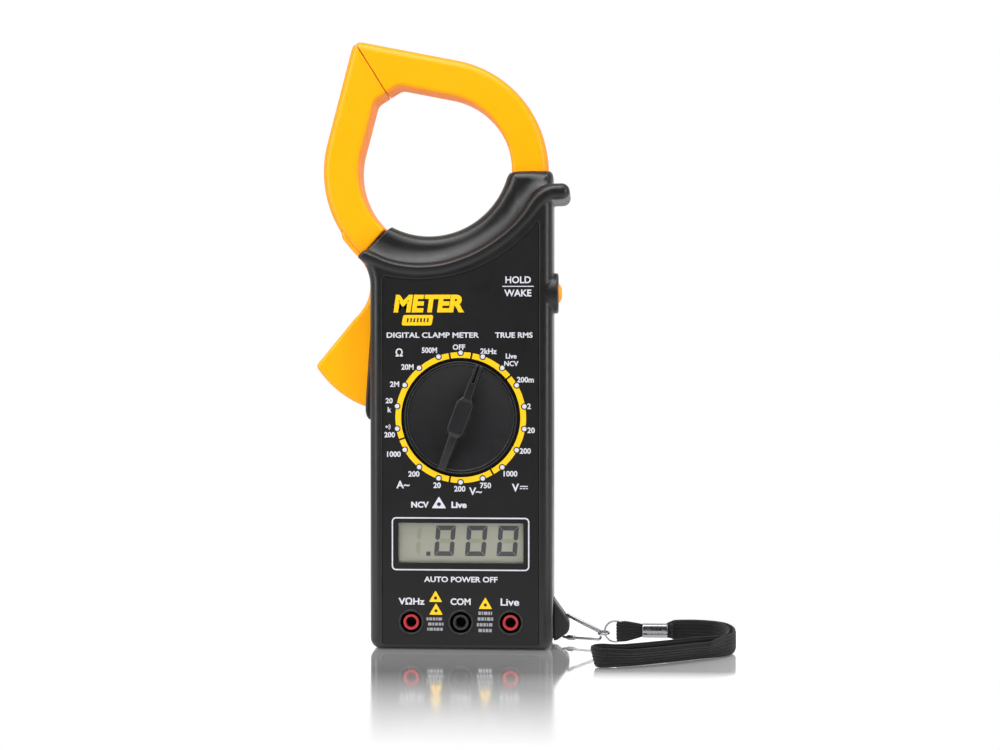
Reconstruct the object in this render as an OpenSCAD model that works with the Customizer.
// Clamp meter: hinged current clamp, rotary selector, liquid-crystal readout, three 4 mm jacks
// and a wrist strap. Units are millimetres. +Z runs up the meter from its foot, +X is the right
// side seen from the front, and the front face looks along -Y. The origin is the middle of the
// flat foot it stands on, at the jaws' mid plane.

/* [Body] */
// Width of the body across the grip
body_w = 70; // [68:0.5:74]
// Distance from the jaw's mid plane to the front face of the bezel
front_d = 15.5; // [15:0.25:17]
// Distance from the jaw's mid plane to the back face
back_d = 18.5; // [18:0.25:20]
// Wall thickness of the moulded case
wall = 2; // [1.6:0.1:2.2]
// Radius of the case's two foot corners
foot_r = 4; // [3:0.5:6]
// Top edge of the case beside the fixed jaw
case_top = 183.4; // [182:0.2:185]
// Where the two case halves part, measured from the jaw's mid plane
split_y = -0.5; // [-0.9:0.1:-0.3]

/* [Jaws] */
// Radius of the round part of the conductor window
jaw_ri = 29.5; // [29:0.25:30.5]
// Width of the jaw band from window to outer edge
jaw_band = 14; // [13:0.25:14.5]
// Thickness of the jaws front to back
jaw_t = 16.5; // [16:0.25:17]
// Direction of the beak where the two jaws meet, in degrees
beak_ang = 122; // [120:0.5:124]
// Half angle between the two straight flanks of the beak
beak_half = 43.3; // [42:0.25:44.5]
// Gap left between the two jaw faces when closed
jaw_gap = 0.4; // [0.3:0.05:0.6]
// Width of the magnetic core inside the jaws
core_w = 7.6; // [7:0.2:9.6]
// Thickness of the magnetic core front to back
core_t = 8; // [7.5:0.5:10]

/* [Lever] */
// Sideways position of the jaw pivot
piv_x = -24.3; // [-24.8:0.1:-23.8]
// Height of the jaw pivot
piv_z = 128.8; // [128.3:0.1:129.3]
// Radius of the pivot pin
pin_r = 2; // [1.6:0.1:2.2]
// Radius from the pivot to the trigger's curved end
trig_r = 38.5; // [38:0.25:39]
// Thickness of the lever and trigger
lever_t = 14; // [13:0.25:14]

/* [Selector] */
// Height of the dial's centre
dial_z = 88.9; // [87.5:0.1:90]
// Radius of the knob
knob_r = 21.5; // [20.5:0.25:21.8]
// Clockwise angle the pointer bar rests at, in degrees
pointer_ang = 20; // [0:20:340]
// Number of switch positions round the dial
positions = 18; // [18:1:20]
// How far the pointer bar stands in front of the bezel
bar_out = 3; // [2:0.25:3.5]

/* [Display] */
// Width of the readout window
lcd_w = 47.8; // [44:0.2:49]
// Height of the readout window
lcd_h = 15.3; // [14:0.1:16.5]
// Height of the readout's centre above the foot
lcd_z = 41; // [40:0.25:42]

/* [Jacks] */
// Spacing between neighbouring jacks
jack_pitch = 19; // [18.8:0.05:19.2]
// Radius of the plug hole
jack_r = 2; // [2:0.05:2.1]
// Height of the row of jacks
jack_z = 10.7; // [10.2:0.1:11.2]

/* [Battery] */
// Battery width
batt_w = 26.5; // [25.5:0.25:26.5]
// Battery length without its terminals
batt_l = 46.4; // [45:0.2:46.4]
// Battery thickness
batt_t = 17.5; // [16.5:0.25:17.5]

/* [Wrist strap] */
// Width of the strap webbing
strap_w = 7.8; // [7:0.1:8]
// Thickness of one layer of webbing
strap_t = 1.7; // [1.4:0.1:1.8]
// Radius of the wire the clip is bent from
wire_r = 0.6; // [0.5:0.05:0.62]

/* [Hidden] */
$fn = 96;

yellow = [1, 0.76, 0.08];
black = [0.17, 0.17, 0.18];
bright_steel = [0.8, 0.8, 0.82];
screw_steel = [0.7, 0.7, 0.72];
small_screw_steel = [0.75, 0.75, 0.75];
core_grey = [0.42, 0.42, 0.44];
brass = [0.85, 0.7, 0.35];
lead_red = [0.75, 0.1, 0.1];

// Places on the front view are [x, z] pairs
half_w = body_w / 2;
jaw_half_t = jaw_t / 2;
lever_half_t = lever_t / 2;
jaw_ro = jaw_ri + jaw_band;
jaw_centre = [-10.4, 183.4];     // centre of the round conductor window
core_ri = jaw_ri + (jaw_band - core_w) / 2;
core_ro = core_ri + core_w;
joint_ang = 230;                 // direction of the lower joint between the jaws
saddle = [-12.7, 189.6];         // centre of the arc the jaws sit in
saddle_r = 31.15;
saddle_y = 10.5;                 // half thickness of the case round the jaws
saddle_wall = 1.9;
neck = [-51.2, 139.4];           // centre of the hollow above the trigger
neck_r = 16.2;
guard = [-14.8, 194.8];          // centre of the finger guard's arc
guard_r = 49.4;
guard_half_w = 1.9;
rear_split_y = split_y + 0.05;
face_y = -front_d + 0.3;         // front of the faceplate
pcb_front = -9.0;
pcb_back = pcb_front + 1.6;
pivot = [piv_x, piv_z];
pin_half_l = 12;
dial = [0, dial_z];
knob_back = -(front_d - 2.3);    // floor of the knob's recess
rotor_front = knob_back + 1.8;
rotor_back = pcb_front - 0.55;
button_yz = [-7.75, 136.3];      // axis of the hold button, along X
jacks = [for (x = [-jack_pitch, 0, jack_pitch]) [x, jack_z]];
case_screws_at = [[-28.9, 5.7], [28.9, 5.7], [28.6, 116], [3, 131.5]];
pcb_screws_at = [[-27.5, 62], [27.5, 62], [-24, 24], [24, 24]];
door_screw_at = [0, 84.6];
screw_boss_r = 3.4;
batt_front = -2.0;
batt_foot = 24.2;
batt_top = batt_foot + batt_l;
batt_mid_y = batt_t / 2 + batt_front;
lug_x = 39.7;                    // wire clip's hole through the strap lug
lug_y = 4;

// ---- helpers -------------------------------------------------------------
// Extrude a shape drawn in X and Z between two Y stations
module plate(y_front, y_back)
  translate([0, y_back, 0]) rotate([90, 0, 0]) linear_extrude(y_back - y_front) children();
// Round bar along Y, at = [x, z]
module cyl_y(at, radius, y_front, y_back)
  translate([at[0], y_back, at[1]]) rotate([90, 0, 0])
    cylinder(r = radius, h = y_back - y_front);
// Round bar along X, at = [y, z]
module cyl_x(at, radius, x_left, x_right)
  translate([x_left, at[0], at[1]]) rotate([0, 90, 0])
    cylinder(r = radius, h = x_right - x_left);
// Round bar between two points, run past each end by extra
module rod(start, end, radius, extra = 0) {
  span = end - start;
  length = norm(span);
  translate(start) rotate([0, acos(span[2] / length), atan2(span[1], span[0])])
    translate([0, 0, -extra]) cylinder(r = radius, h = length + 2 * extra, $fn = 32);
}
module box(low, high) translate(low) cube(high - low);
module disc(at, radius, sides = 96) translate(at) circle(r = radius, $fn = sides);
module annulus(at, r_in, r_out, sides) difference() {
  disc(at, r_out, sides);
  disc(at, r_in, sides);
}
// Rectangle with round corners, from corner to corner
module round_rect(x0, z0, x1, z1, radius) {
  translate([x0 + radius, z0]) square([x1 - x0 - 2 * radius, z1 - z0]);
  translate([x0, z0 + radius]) square([x1 - x0, z1 - z0 - 2 * radius]);
  for (x = [x0 + radius, x1 - radius], z = [z0 + radius, z1 - radius]) disc([x, z], radius, 48);
}
// Wire ring round Z
module wire_ring(ring_r, wire, sides)
  rotate_extrude($fn = sides) translate([ring_r, 0]) circle(r = wire, $fn = 24);
// Cross slot for a screw head; size = [length, depth, width]
module cross_slot(at, y, size)
  for (turn = [0, 90]) translate([at[0], y, at[1]]) rotate([0, turn, 0])
    cube(size, center = true);
// Frame on the dial's axis, turned clockwise seen from the front
module at_dial(turn, y = 0) translate([0, y, dial_z]) rotate([0, turn, 0]) children();
// Block the size of the readout window, grown by margin
module lcd_box(margin, y_front, y_back)
  box([-lcd_w / 2 - margin, y_front, lcd_z - lcd_h / 2 - margin],
    [lcd_w / 2 + margin, y_back, lcd_z + lcd_h / 2 + margin]);
function polar(centre, radius, angle) =
  [centre[0] + radius * cos(angle), centre[1] + radius * sin(angle)];

// ---- jaw outlines --------------------------------------------------------
// Pie slice round the window's centre
module wedge(from_ang, to_ang)
  polygon(concat([jaw_centre],
    [for (i = [0:12]) polar(jaw_centre, 110, from_ang + (to_ang - from_ang) * i / 12)]));
// Round disc drawn out to a beak
module beaked_disc(radius) {
  translate(jaw_centre) rotate(beak_ang + beak_half) circle(r = radius, $fn = 180);
  polygon([jaw_centre,
    polar(jaw_centre, radius, beak_ang - beak_half),
    polar(jaw_centre, radius / cos(beak_half), beak_ang),
    polar(jaw_centre, radius, beak_ang + beak_half)]);
}
// Everything nearer than reach to the window's centre along the beak
module short_of(reach)
  translate(jaw_centre) rotate(beak_ang) translate([reach - 300, -150]) square([300, 300]);
// Ring of the jaws, with both its beaks cut blunt
module jaw_ring(r_in, r_out) difference() {
  intersection() {
    beaked_disc(r_out);
    short_of(r_out / cos(beak_half) - 1.3);
  }
  intersection() {
    beaked_disc(r_in);
    short_of(r_in + 5.8);
  }
}
module tip_gap()
  translate(jaw_centre) rotate(beak_ang) translate([0, -jaw_gap / 2]) square([90, jaw_gap]);

// ---- case outlines -------------------------------------------------------
// Outline of the case, drawn in by inset
module case2d(inset = 0) difference() {
  union() {
    round_rect(-half_w + inset, inset, half_w - inset, 150, foot_r - inset / 2);
    polygon([[-half_w + inset, 100], [half_w - inset, 100],
      [half_w - inset, case_top - inset], [0, case_top - inset],
      [0, 170], [-20, 170],
      [-27.0 + 1.41 * inset, 162.4 - 0.3 * inset], [-39.6 + 1.41 * inset, 149.4],
      [-39.6 + inset, neck[1]], [-half_w + inset, neck[1]]]);
  }
  disc(saddle, saddle_r + inset, 180);
  disc(neck, neck_r + inset, 120);
}
// Part of the case below the finger guard
module grip2d(inset = 0, guard_offset = 0) difference() {
  case2d(inset);
  disc(guard, guard_r + guard_offset, 180);
  polygon([[22, 190], [22, 161], [28, 169.5], [32, 174], [60, 174.6], [60, 190]]);
}
// Finger guard: an arc under the jaws that ends in a rounded nose on the right
module guard2d() {
  nose = [38.3, 174.8];
  nose_r = 3.0;
  intersection() {
    annulus(guard, guard_r - guard_half_w, guard_r + guard_half_w, 180);
    polygon([[-37.4, 140], [-37.4, 152], [-20, 165], [26.5, 172], [26.5, 140]]);
    case2d(0);
  }
  polygon([[24.3, 166.5], [27.2, 163.5], [31.4, 168.8], [34.6, 171.2],
    nose - [0, nose_r], nose + [0, nose_r], [33.5, 177.5], [29.5, 174.9]]);
  disc(nose, nose_r, 48);
}
// Left-hand opening the lever works through
module lever_slot() {
  foot_z = 90.2;
  inner_x = -half_w + wall + 0.2;
  plate(-lever_half_t - 0.4, lever_half_t + 0.4)
    polygon([[-60, foot_z], [inner_x, foot_z], [inner_x, 139], [-31.5, 157.4], [-50, 157.4]]);
}
// Lip standing out from the side round the lever's opening
module slot_rim2d()
  polygon([[-half_w, 128], [-37.3, 93], [-37.6, 90.2], [-37.0, 88.8], [-half_w, 87.6]]);
module faceplate2d(inset = 0) difference() {
  round_rect(-29.9 + inset, 2.1 + inset, 29.7 - inset, 168, 1.3);
  disc([-16, 199.1], 57.8 + inset, 180);
}
module label2d(inset = 0)
  round_rect(-22 + inset, 96 + inset, 22 - inset, 126 - inset, 2 - inset);
module door2d(inset = 0)
  round_rect(-17 + inset, 19.9 + inset, 17 - inset, 89.1 - inset, 2.1 - inset);

// ---- case ----------------------------------------------------------------
// Round boss on the right side that carries the hold button
module button_boss(y_front, y_back) intersection() {
  cyl_x(button_yz, 7.75, half_w - 6, 37.1);
  box([0, y_front, 100], [60, y_back, 160]);
}
// Room for the hold button's flange
module button_flange_bore() cyl_x(button_yz, 5.9, 20, 34.2);
// Pocket the fixed jaw's root drops into
module jaw_pocket(y_front, y_back) plate(y_front, y_back) intersection() {
  annulus(jaw_centre, jaw_ri - 0.1, jaw_ro + 0.1, 180);
  translate([0, 176]) square([60, 20]);
}
module core_pocket(y_back)
  plate(-core_t / 2 - 0.4, y_back) annulus(jaw_centre, core_ri - 0.4, core_ro + 0.4, 180);
// Scalloped track the switch balls click along
module detent_track() difference() {
  cyl_y(dial, 19.8, knob_back + 1, pcb_front - 0.4);
  cyl_y(dial, 18.3, knob_back, pcb_front);
  for (k = [0:positions - 1])
    cyl_y(dial + 18.7 * [sin(k * 360 / positions), cos(k * 360 / positions)], 1,
      rotor_front, pcb_front);
}
module front_shell() color(black) difference() {
  union() {
    difference() {
      union() {
        plate(-front_d, split_y) grip2d();
        plate(-saddle_y, split_y) case2d();
        plate(-front_d - 0.9, split_y) guard2d();
        button_boss(-front_d, split_y);
        plate(-lever_half_t - 2.6, split_y) slot_rim2d();
      }
      plate(-front_d + wall, 1) grip2d(wall, 2.2);
      plate(-saddle_y + saddle_wall, 1) case2d(wall);
    }
    // floor of the knob's recess, then the bosses
    cyl_y(dial, knob_r + 3, -front_d + 1, knob_back + 1.7);
    for (at = jacks) cyl_y(at, 5.3, -front_d + 0.25, 5.2);
    for (at = case_screws_at) cyl_y(at, screw_boss_r, -front_d + 1, split_y);
    for (at = pcb_screws_at) cyl_y(at, 2.6, -front_d + 1, pcb_front - 0.02);
    cyl_y(pivot, 4.6, -front_d + 1, -lever_half_t - 0.15);
    detent_track();
  }
  // faceplate recess
  plate(-front_d - 0.1, face_y + 0.6) difference() {
    faceplate2d(-0.1);
    for (at = jacks) disc(at, 4.7, 64);
  }
  // knob recess and its hub's bore
  cyl_y(dial, knob_r + 1.2, -front_d - 1, knob_back);
  cyl_y(dial, 8.05, -front_d - 1, -8);
  // lens seat and readout opening
  lcd_box(1.6, -front_d, -front_d + 2);
  lcd_box(0.6, -front_d, -5);
  for (at = jacks) {
    cyl_y(at, 4.0, -front_d - 1, 3.4);
    cyl_y(at, 3.02, 3, 6);
  }
  for (at = case_screws_at) cyl_y(at, 1.3, -11, 0);
  for (at = pcb_screws_at) cyl_y(at, 0.9, -13, -8);
  cyl_y(pivot, pin_r + 0.02, -pin_half_l - 0.02, 0);
  cyl_x(button_yz, 3.78, 20, 60);
  button_flange_bore();
  lever_slot();
  jaw_pocket(-jaw_half_t - 0.08, jaw_half_t);
  core_pocket(core_t);
}
// Lug low on the right side for the wire clip
module strap_lug() plate(lug_y - 4.4, lug_y + 5.6) {
  polygon([[half_w - 1, 18.6], [half_w, 17.4], [40.3, 10.1], [41.0, 8.6], [41.0, 5.6],
    [40.3, 4.4], [half_w + 1.5, 1.8], [half_w - 1, 1.2]]);
  disc([39.9, 7.1], 1.85, 48);
}
module rear_shell() color(black) difference() {
  union() {
    difference() {
      union() {
        plate(rear_split_y, back_d) grip2d();
        plate(rear_split_y, saddle_y) case2d();
        plate(rear_split_y, back_d) guard2d();
        plate(rear_split_y, lever_half_t + 2.6) slot_rim2d();
        button_boss(rear_split_y, back_d);
        strap_lug();
      }
      plate(-2, back_d - wall) grip2d(wall, 2.2);
      plate(-2, saddle_y - saddle_wall) case2d(wall);
    }
    // battery bay and the ledge round its door
    box([-batt_w / 2 - 2.0, -3.6, 21.5], [batt_w / 2 + 2.0, back_d - 3, 81.5]);
    box([-19, back_d - 3.6, 17.9], [19, back_d - 1.9, 91]);
    for (at = case_screws_at) cyl_y(at, screw_boss_r, rear_split_y, back_d - 1);
    cyl_y(door_screw_at, 3, 5, back_d - 1);
    cyl_y(pivot, 4.6, lever_half_t + 0.15, back_d - 1);
  }
  for (at = case_screws_at) {
    cyl_y(at, 1.6, -2, 9);
    cyl_y(at, 2.9, 8, back_d + 1);
  }
  // door opening, battery room and the slot for its leads
  plate(back_d - 2.0, back_d + 1) door2d();
  box([-batt_w / 2 - 0.4, batt_front - 0.2, 23], [batt_w / 2 + 0.4, back_d, 80]);
  box([-4, -3.7, 76], [4, 2, 90]);
  cyl_y(door_screw_at, 1.3, 6, back_d);
  cyl_y(pivot, pin_r + 0.02, 0, pin_half_l + 0.02);
  for (at = jacks) cyl_y(at, 5.5, -2, 5.6);
  translate([lug_x, lug_y, -5]) cylinder(r = wire_r + 0.1, h = 40, $fn = 48);
  plate(back_d - 0.3, back_d + 1) label2d();
  button_flange_bore();
  lever_slot();
  jaw_pocket(-jaw_half_t, jaw_half_t + 0.08);
  core_pocket(core_t / 2 + 0.4);
}
module faceplate() color([0.14, 0.14, 0.14]) difference() {
  plate(face_y, face_y + 0.55) difference() {
    faceplate2d(0);
    for (at = jacks) disc(at, 4.8, 64);
    translate([-lcd_w / 2, lcd_z - lcd_h / 2]) square([lcd_w, lcd_h]);
  }
  cyl_y(dial, knob_r + 1.2, -30, 0);
}
module rear_label() color([0.75, 0.75, 0.77]) plate(back_d - 0.28, back_d - 0.1) label2d(0.1);
module case_screws() color(screw_steel) for (at = case_screws_at) difference() {
  union() {
    cyl_y(at, 1.25, -10, 8.5);
    cyl_y(at, 2.6, 8.02, 10.2);
  }
  cross_slot(at, 10.2, [3.2, 2.0, 0.6]);
}
module pcb_screws() color(small_screw_steel) for (at = pcb_screws_at) difference() {
  union() {
    cyl_y(at, 0.85, -12.5, -7);
    cyl_y(at, 1.9, pcb_back + 0.02, pcb_back + 1.5);
  }
  cross_slot(at, pcb_back + 1.5, [2.4, 1.2, 0.5]);
}

// ---- jaws ----------------------------------------------------------------
// The part of a jaw ring that lies inside the child outline
module jaw_part(y_front, y_back, r_in, r_out) plate(y_front, y_back) difference() {
  intersection() {
    jaw_ring(r_in, r_out);
    children();
  }
  tip_gap();
}
// One moulding of a jaw, hollowed for the core
module jaw_half(y_front, y_back) difference() {
  jaw_part(y_front, y_back, jaw_ri, jaw_ro) children();
  plate(-core_t / 2 - 0.12, core_t / 2 + 0.12) jaw_ring(core_ri - 0.12, core_ro + 0.12);
}
module jaw_core() color(core_grey)
  jaw_part(-core_t / 2, core_t / 2, core_ri, core_ro) children();

module fixed_half(y_front, y_back) color(yellow) jaw_half(y_front, y_back) intersection() {
  wedge(-25, beak_ang);
  translate([-60, case_top - 6.4]) square([120, 70]);
}
module fixed_jaw_front() fixed_half(-jaw_half_t, -0.02);
module fixed_jaw_rear() fixed_half(0.02, jaw_half_t);
module fixed_core() jaw_core() wedge(joint_ang - 360 + 1.2, beak_ang);

module moving_half(y_front, y_back) color(yellow) difference() {
  jaw_half(y_front, y_back) wedge(beak_ang, joint_ang - 0.9);
  plate(-lever_half_t - 0.05, lever_half_t + 0.05) lever2d();
}
module moving_jaw_front() moving_half(-jaw_half_t, -0.02);
module moving_jaw_rear() moving_half(0.02, jaw_half_t);
module moving_core() jaw_core() wedge(beak_ang, joint_ang - 0.8);

// ---- coil ----------------------------------------------------------------
coil_start = 263;                // directions of the bobbin's two ends
coil_end = 315;
// Slice of a rectangular ring round the window's centre, half_t to each side of the mid plane
module arc_box(r_in, r_out, half_t, from_ang, to_ang)
  translate([jaw_centre[0], 0, jaw_centre[1]]) rotate([90, 0, 0]) rotate([0, 0, from_ang])
    rotate_extrude(angle = to_ang - from_ang, $fn = 180)
      translate([r_in, -half_t]) square([r_out - r_in, 2 * half_t]);
// Arc box that clears the core by margin
module core_sleeve(margin, from_ang, to_ang)
  arc_box(core_ri - margin, core_ro + margin, core_t / 2 + margin, from_ang, to_ang);
module coil_bobbin() color([0.9, 0.88, 0.8]) difference() {
  union() {
    core_sleeve(1.2, coil_start, coil_end);
    for (flange = [coil_start, coil_end - 2])
      arc_box(core_ri - 3.6, core_ro + 3.6, 8.2, flange, flange + 2);
  }
  core_sleeve(0.1, coil_start - 5, coil_end + 5);
}
module coil_winding() color([0.62, 0.3, 0.12]) difference() {
  arc_box(core_ri - 3.2, core_ro + 3.2, 7.8, coil_start + 2.1, coil_end - 2.1);
  core_sleeve(1.25, coil_start, coil_end);
}
module coil_leads() color(lead_red) for (k = [0, 1])
  rod([18 + 4 * k, -6.8, 146.0 - 1.5 * k], [18 + 4 * k, -6.8, 132], 0.45);

// ---- lever ---------------------------------------------------------------
spring_y = 3;                    // the spring's end turns lie this far from the mid plane
spring_leg = [[piv_x - 4.6, spring_y, piv_z], [piv_x - 6.2, spring_y, piv_z + 13]];
// Outline of the lever, its trigger end rounded about the pivot
module lever2d() difference() {
  polygon([[-59.2, 105.7], [-39.6, 129.5], [-45, 145], [-40.2, 149.9], [-46.6, 157.6],
    [-47.1, 160], [-46.4, 163.8], [-38.5, 163.5], [-32.6, 156.6], [-29.5, 147.5],
    [piv_x + 6.9, piv_z + 5], [piv_x + 3, piv_z - 4], [-33.6, 90], [-60, 85]]);
  difference() {
    translate([-70, 70]) square([60, 48]);
    disc(pivot, trig_r, 180);
  }
  disc(neck, neck_r - 0.8, 120);
}
module trigger_lever() color(yellow) difference() {
  union() {
    plate(-lever_half_t, lever_half_t) lever2d();
    cyl_y(pivot, 8.5, -lever_half_t, lever_half_t);
  }
  cyl_y(pivot, pin_r + 0.05, -lever_half_t - 1, lever_half_t + 1);
  // fork that straddles the lower joint of the cores
  plate(-core_t / 2 - 0.25, core_t / 2 + 0.25) difference() {
    disc(jaw_centre, jaw_ro + 4, 180);
    polygon([[-60, 100], [-36, 100], [-43.5, 147], [-60, 165]]);
  }
  // groove for the return spring's leg
  rod(spring_leg[0], spring_leg[1], 0.62, 0.7);
  // room for the return spring, and a hollow in the trigger
  plate(-4.3, 4.3) union() {
    disc(pivot, 7.0);
    polygon([[piv_x, piv_z + 7], [-29.5, 147.5], [-26, 150], [piv_x + 14, piv_z + 7],
      [piv_x + 14, piv_z - 7], [piv_x, piv_z - 7]]);
    polygon([[-47, 110], [-37, 122], [-30, 121], [-29, 104], [-36, 97]]);
  }
}
module pivot_pin() color(bright_steel) cyl_y(pivot, pin_r, -pin_half_l, pin_half_l);
module return_spring() color([0.6, 0.6, 0.62]) {
  for (k = [0:6]) translate([piv_x, k - spring_y, piv_z]) rotate([90, 0, 0])
    wire_ring(4.6, 0.55, 64);
  rod(spring_leg[0], spring_leg[1], 0.5);
  rod([piv_x + 2, -spring_y, piv_z + 4.1], [piv_x + 10.5, -spring_y, piv_z + 3.2], 0.5);
}

// ---- readout -------------------------------------------------------------
zebra_front = -11.15;
zebra_rows = [for (side = [-1, 1]) lcd_z + side * (lcd_h / 2 - 1.6)];
module lcd_lens() color([0.8, 0.85, 0.85, 0.4]) lcd_box(1.5, face_y + 0.62, face_y + 1.62);
// Two panes back to back
module lcd_glass() color([0.66, 0.67, 0.6]) {
  lcd_box(0.4, -13.4, -12.3);
  lcd_box(0.4, -12.3, -11.2);
}
module lcd_holder() color([0.85, 0.85, 0.83]) difference() {
  lcd_box(2.6, -13.2, pcb_front - 0.02);
  lcd_box(0.7, -14, -11.0);
  // slots for the zebra strips
  for (z = zebra_rows) box([-lcd_w / 2 + 2, -14, z - 1.4], [lcd_w / 2 - 2, 0, z + 1.4]);
  box([-lcd_w / 2 + 2, -10.4, lcd_z - lcd_h / 2 + 3.6],
    [lcd_w / 2 - 2, 0, lcd_z + lcd_h / 2 - 3.6]);
}
module zebra_strips() color([0.85, 0.45, 0.55]) for (z = zebra_rows)
  translate([0, (zebra_front + pcb_front) / 2, z])
    cube([lcd_w - 5, pcb_front - zebra_front - 0.1, 2.2], center = true);

// ---- circuit board -------------------------------------------------------
part_y = pcb_back + 0.02;        // front of the parts on the board's back face
module main_pcb() color([0.1, 0.35, 0.16]) difference() {
  plate(pcb_front, pcb_back)
    polygon([[-30.5, 18.5], [30.5, 18.5], [30.5, 130.4], [29.0, 130.4], [29.0, 144],
      [15, 144], [12, 138], [12, 120], [-28, 108], [-30.5, 104]]);
  for (at = pcb_screws_at) cyl_y(at, 1.1, -12, 0);
  for (at = case_screws_at) cyl_y(at, screw_boss_r + 0.3, -12, 0);
  cyl_y(dial, 3.2, -12, 0);
  for (at = jacks) cyl_y(at, 5.5, -12, 0);
  cyl_y(pivot, 5, -12, 0);
}
module meter_chip() color([0.06, 0.06, 0.06]) box([-8, part_y, 58], [8, pcb_back + 1.9, 72]);
// Five small blocks, four upright cans, three bars lying along X and two larger blocks
module pcb_components() color([0.2, 0.3, 0.6]) {
  for (k = [0:4]) box([-24 + 3.4 * k, part_y, 30], [-22 + 3.4 * k, pcb_back + 1.6, 34]);
  for (k = [0:3]) cyl_y([20.5, 33 + 6.2 * k], 2.2, part_y, pcb_back + 3.4);
  for (k = [0:2]) translate([22.3, pcb_back + 1.3, 95 + 6 * k]) rotate([0, 90, 0])
    cylinder(r = 1.15, h = 6.5, $fn = 32);
  box([19, part_y, 74], [26, pcb_back + 5.6, 81]);
  box([-27, part_y, 78], [-20, pcb_back + 3.2, 85]);
}
// Two end clips with the fuse between them
module fuse_clip() color([0.8, 0.78, 0.7]) {
  for (x = [-26.5, -12.5]) box([x, part_y, 42], [x + 2.5, pcb_back + 2.6, 47]);
  cyl_x([pcb_back + 1.6, 44.5], 1.55, -26, -10.5);
}
module buzzer() color([0.12, 0.12, 0.12]) difference() {
  cyl_y([21.5, 67], 5.3, part_y, pcb_back + 6);
  cyl_y([21.5, 67], 0.9, pcb_back + 3, pcb_back + 7);
}
// Switch body and its plunger, facing the hold button
module hold_switch() color([0.25, 0.25, 0.27]) {
  z = button_yz[1];
  box([24.2, pcb_front - 3.2, z - 3.1], [28.4, pcb_front - 0.02, z + 3.1]);
  box([28.4, pcb_front - 2.4, z - 1.2], [29.1, pcb_front - 0.8, z + 1.2]);
}
module hold_button() color([1, 0.6, 0.08]) {
  // domed cap, then its flange
  translate([29.4, button_yz[0], button_yz[1]]) rotate([0, 90, 0])
    rotate_extrude($fn = 96) intersection() {
      square([3.7, 20]);
      disc([0, 0.6], 8.45, 120);
    }
  cyl_x(button_yz, 5.0, 31.4, 33.1);
}

// ---- jacks ---------------------------------------------------------------
module jack_sleeve(at) difference() {
  union() {
    cyl_y(at, 2.96, face_y + 0.15, 6.0);
    cyl_y(at, 3.85, 1.9, 3.3);
  }
  cyl_y(at, jack_r + 0.05, -30, -10);
  cyl_y(at, jack_r + 0.45, -12.6, 30);
}
module jack_sleeves_outer() color([0.88, 0.18, 0.22]) {
  jack_sleeve(jacks[0]);
  jack_sleeve(jacks[2]);
}
module jack_sleeve_common() color([0.05, 0.05, 0.05]) jack_sleeve(jacks[1]);
// Tube with a rear collar and a bent strip to the board
module jack_contacts() color(brass) for (at = jacks) difference() {
  strip_left = at[0] - 1.6;
  strip_right = at[0] + 1.6;
  strip_top = 19.5;
  union() {
    cyl_y(at, jack_r + 0.4, -12.5, 7.0);
    cyl_y(at, 3.1, 6.3, 7.6);
    box([strip_left, 6.4, jack_z + 2], [strip_right, 7.2, strip_top]);
    box([strip_left, part_y, 18.7], [strip_right, 7.2, strip_top]);
  }
  cyl_y(at, jack_r, -20, 6.6);
}

// ---- selector ------------------------------------------------------------
ball_y = (rotor_front + rotor_back) / 2;
ball_turns = [pointer_ang, pointer_ang + 180];
// Outline of the pointer bar about the dial's centre, widened in the middle
module pointer_bar2d() {
  end_x = 1.4;
  mid_x = 3.15;
  end_z = knob_r - 0.6;
  rotate(-pointer_ang)
    polygon([[-end_x, -end_z], [end_x, -end_z], [end_x, -7.8], [mid_x, -5.7],
      [mid_x, 5.7], [end_x, 7.8], [end_x, end_z], [-end_x, end_z],
      [-end_x, 7.8], [-mid_x, 5.7], [-mid_x, -5.7], [-end_x, -7.8]]);
}
module selector_knob() color([0.15, 0.15, 0.16]) difference() {
  bar_front = -front_d - bar_out;
  union() {
    difference() {
      cyl_y(dial, knob_r, -front_d - 0.7, knob_back - 0.15);
      // shallow dish in the front
      translate([0, -front_d - 46.8, dial_z]) sphere(r = 48.1, $fn = 200);
    }
    intersection() {
      at_dial(0) plate(bar_front, knob_back - 0.2) pointer_bar2d();
      cyl_y(dial, knob_r, -40, 0);
    }
    // hub and spigot
    cyl_y(dial, 8.0, knob_back - 0.3, knob_back + 1.75);
    cyl_y(dial, 2.9, knob_back, -10.2);
  }
  // index mark near the bar's end
  at_dial(pointer_ang) translate([0, 0, 16.8]) plate(bar_front - 1, bar_front + 0.7)
    translate([-0.45, -1.7]) square([0.9, 3.4]);
  cyl_y(dial, 0.95, -13, 0);
}
module switch_rotor() color([0.9, 0.9, 0.88]) difference() {
  cyl_y(dial, 17.6, rotor_front, rotor_back);
  cyl_y(dial, 2.95, -14, 0);
  // bores for the detent springs and balls
  for (turn = ball_turns) at_dial(turn, ball_y) translate([0, 0, 9])
    cylinder(r = 0.82, h = 12, $fn = 48);
}
module rotor_screw() color(small_screw_steel) difference() {
  union() {
    cyl_y(dial, 0.9, -12.6, -9.5);
    cyl_y(dial, 2.8, -10.15, -8.7);
  }
  translate([0, -8.7, dial_z]) cube([4, 0.9, 0.5], center = true);
}
module wiper_contacts() color(brass) for (turn = [40, 160, 280], reach = [8, 12, 15])
  at_dial(turn + pointer_ang)
    box([reach - 1, pcb_front - 0.5, -2.5], [reach + 1, pcb_front - 0.06, 2.5]);
module detent_balls() color(bright_steel) for (turn = ball_turns)
  at_dial(turn, ball_y) translate([0, 0, 17.45]) sphere(r = 0.78, $fn = 64);
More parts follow.
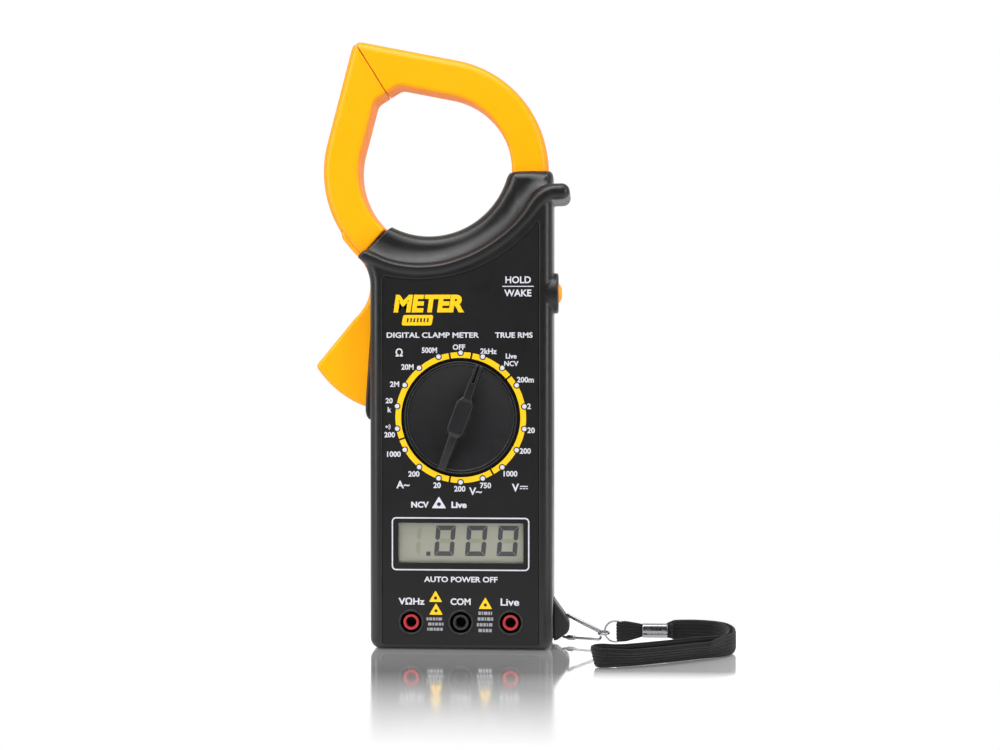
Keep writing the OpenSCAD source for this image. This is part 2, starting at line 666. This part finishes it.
module detent_springs() color([0.65, 0.65, 0.68]) for (turn = ball_turns)
  at_dial(turn, ball_y) for (k = [0:14]) translate([0, 0, 9.4 + 0.48 * k])
    wire_ring(0.52, 0.26, 32);

// ---- battery -------------------------------------------------------------
terminals = [[-6.35, 2.9], [6.35, 2.6]]; // x, radius
module battery_door() color(black) difference() {
  union() {
    plate(back_d - 1.95, back_d) door2d(0.15);
    // ribs that reach in to the battery
    for (x = [-10, 10]) box([x - 1, batt_t + batt_front + 0.2, 30], [x + 1, back_d - 1.9, 70]);
  }
  cyl_y(door_screw_at, 1.6, 0, 30);
  cyl_y(door_screw_at, 2.7, back_d - 1, 30);
  // grooves across the foot of the door
  for (k = [0:5]) box([-8, back_d - 0.5, 26 + 2.2 * k], [8, back_d + 1, 27 + 2.2 * k]);
}
module door_screw() color(screw_steel) difference() {
  union() {
    cyl_y(door_screw_at, 1.25, 9, back_d - 0.9);
    cyl_y(door_screw_at, 2.5, back_d - 0.98, back_d - 0.1);
  }
  cross_slot(door_screw_at, back_d - 0.1, [3.2, 1.1, 0.6]);
}
module battery() color([0.2, 0.22, 0.28]) {
  plate(batt_front, batt_t + batt_front)
    round_rect(-batt_w / 2, batt_foot, batt_w / 2, batt_top, 2.2);
  for (stud = terminals) translate([stud[0], batt_mid_y, batt_top - 0.1])
    cylinder(r = stud[1], h = 2.2);
}
module battery_snap() color([0.1, 0.1, 0.1]) difference() {
  box([-12.2, 1.2, batt_top + 0.3], [12.2, batt_t - 5.2, batt_top + 5.0]);
  for (stud = terminals) translate([stud[0], batt_mid_y, batt_top - 1])
    cylinder(r = 3.0, h = 3.3);
}
module battery_leads() color(lead_red) for (x = [-2, 2]) {
  rod([x, -6.6, 84], [x, 0.4, 84], 0.6);
  rod([x, 0, 84.3], [x, 0, 76.9], 0.6);
}

// ---- clip and split ring -------------------------------------------------
clip_eye = [54.6, -2.6, 5.0];
strap_mid_z = clip_eye[2];
split_ring_r = 4.0;
ring_centre = clip_eye + [0.35 + split_ring_r, 0, 0];
// Wire through the lug, its two arms meeting at an eye
module wire_clip() color([0.78, 0.78, 0.8]) {
  top = [lug_x, lug_y, 12.6];
  bottom = [lug_x, lug_y, 2.6];
  knee = [50.5, -0.5, 2.6];
  upper_end = clip_eye + [-1.9, 1.0, 0.2];
  lower_end = clip_eye + [-1.75, 1.0, -0.2];
  rod(bottom, top, wire_r);
  rod(top, upper_end, wire_r);
  rod(bottom, knee, wire_r);
  // thicker sleeve on the lower arm
  rod(bottom + 0.18 * (knee - bottom), bottom + 0.48 * (knee - bottom), wire_r + 0.35);
  rod(knee, lower_end, wire_r);
  for (bend = [bottom, top, knee]) translate(bend) sphere(r = wire_r * 1.12, $fn = 32);
  translate(clip_eye) difference() {
    wire_ring(1.95, 0.55, 64);
    translate([0, 0, -1]) cylinder(r = 1.5, h = 2, $fn = 64);
  }
}
module split_ring() color(bright_steel) for (dy = [-0.32, 0.32])
  translate(ring_centre + [0, dy, 0]) rotate([90, 0, 0]) wire_ring(split_ring_r, 0.4, 96);

// ---- wrist strap, drawn in plan from above -------------------------------
loop_x = ring_centre[0] + split_ring_r; // where the webbing turns round the ring
loop_y = clip_eye[1];
ferrule_x = loop_x + 6.5;
turn_r = 15.1;                   // the strap's turn
turn_x = 86.5;
turn_y = loop_y - turn_r;
run_ang = 22.7;                  // slope and length of the straight run after the turn
run_l = 48;
run_start = polar([turn_x, turn_y], turn_r, run_ang - 90);
run_end = polar(run_start, run_l, run_ang + 180);
layer_gap = 0.2;
// Plan of both layers of the strap together
module strap_plan(width) {
  translate([loop_x, loop_y - width / 2]) square([turn_x - loop_x, width]);
  translate([turn_x, turn_y]) intersection() {
    annulus([0, 0], turn_r - width / 2, turn_r + width / 2, 160);
    polygon([[0, 0], [0, 60], [60, 60], [60, -60], polar([0, 0], 60, run_ang - 90)]);
  }
  translate(run_start) rotate(run_ang + 180) translate([0, -width / 2]) square([run_l, width]);
}
// The doubled band, from inside the ferrule on
module strap_band() translate([0, 0, 0.25]) linear_extrude(strap_w) difference() {
  union() {
    strap_plan(2 * strap_t + layer_gap);
    disc(run_end, strap_t + 0.1, 48);
  }
  strap_plan(layer_gap);
  translate([loop_x - 5, loop_y - 6]) square([ferrule_x + 9.8 - loop_x + 5, 12]);
}
// The narrow neck that passes the ferrule and turns round the ring
module strap_neck() translate([0, 0, strap_mid_z - 1.9]) linear_extrude(3.8) difference() {
  union() {
    translate([loop_x, loop_y - 1.55]) square([ferrule_x + 12 - loop_x, 3.1]);
    disc([loop_x, loop_y], 1.95, 64);
    translate([loop_x, loop_y - 1.95]) square([4.8, 3.9]);
  }
  disc([loop_x, loop_y], 1.1, 48);
  translate([loop_x, loop_y - 1.0]) square([4.0, 2.0]);
  translate([loop_x + 3.5, loop_y - layer_gap / 2]) square([20, layer_gap]);
}
module wrist_strap() color([0.1, 0.1, 0.1]) {
  strap_band();
  strap_neck();
}
// Rounded bar along X for the ferrule and its bore
module ferrule_bar(x, length, half_y, half_z, corner_r)
  translate([x, loop_y, strap_mid_z]) rotate([90, 0, 90]) linear_extrude(length)
    round_rect(-half_y, -half_z, half_y, half_z, corner_r);
module strap_ferrule() color([0.75, 0.76, 0.78]) difference() {
  ferrule_bar(ferrule_x, 9.6, 2.2, 2.7, 0.9);
  ferrule_bar(ferrule_x - 1, 12, 1.65, 2.15, 0.3);
}

front_shell();
rear_shell();
faceplate();
lcd_lens();
lcd_glass();
lcd_holder();
zebra_strips();
main_pcb();
meter_chip();
pcb_components();
fuse_clip();
buzzer();
hold_switch();
jack_sleeves_outer();
jack_sleeve_common();
jack_contacts();
fixed_jaw_front();
fixed_jaw_rear();
fixed_core();
coil_bobbin();
coil_winding();
coil_leads();
pivot_pin();
case_screws();
pcb_screws();
rear_label();
battery_leads();
moving_jaw_front();
moving_jaw_rear();
moving_core();
trigger_lever();
return_spring();
selector_knob();
switch_rotor();
rotor_screw();
wiper_contacts();
detent_balls();
detent_springs();
hold_button();
battery_door();
door_screw();
battery();
battery_snap();
wire_clip();
split_ring();
wrist_strap();
strap_ferrule();
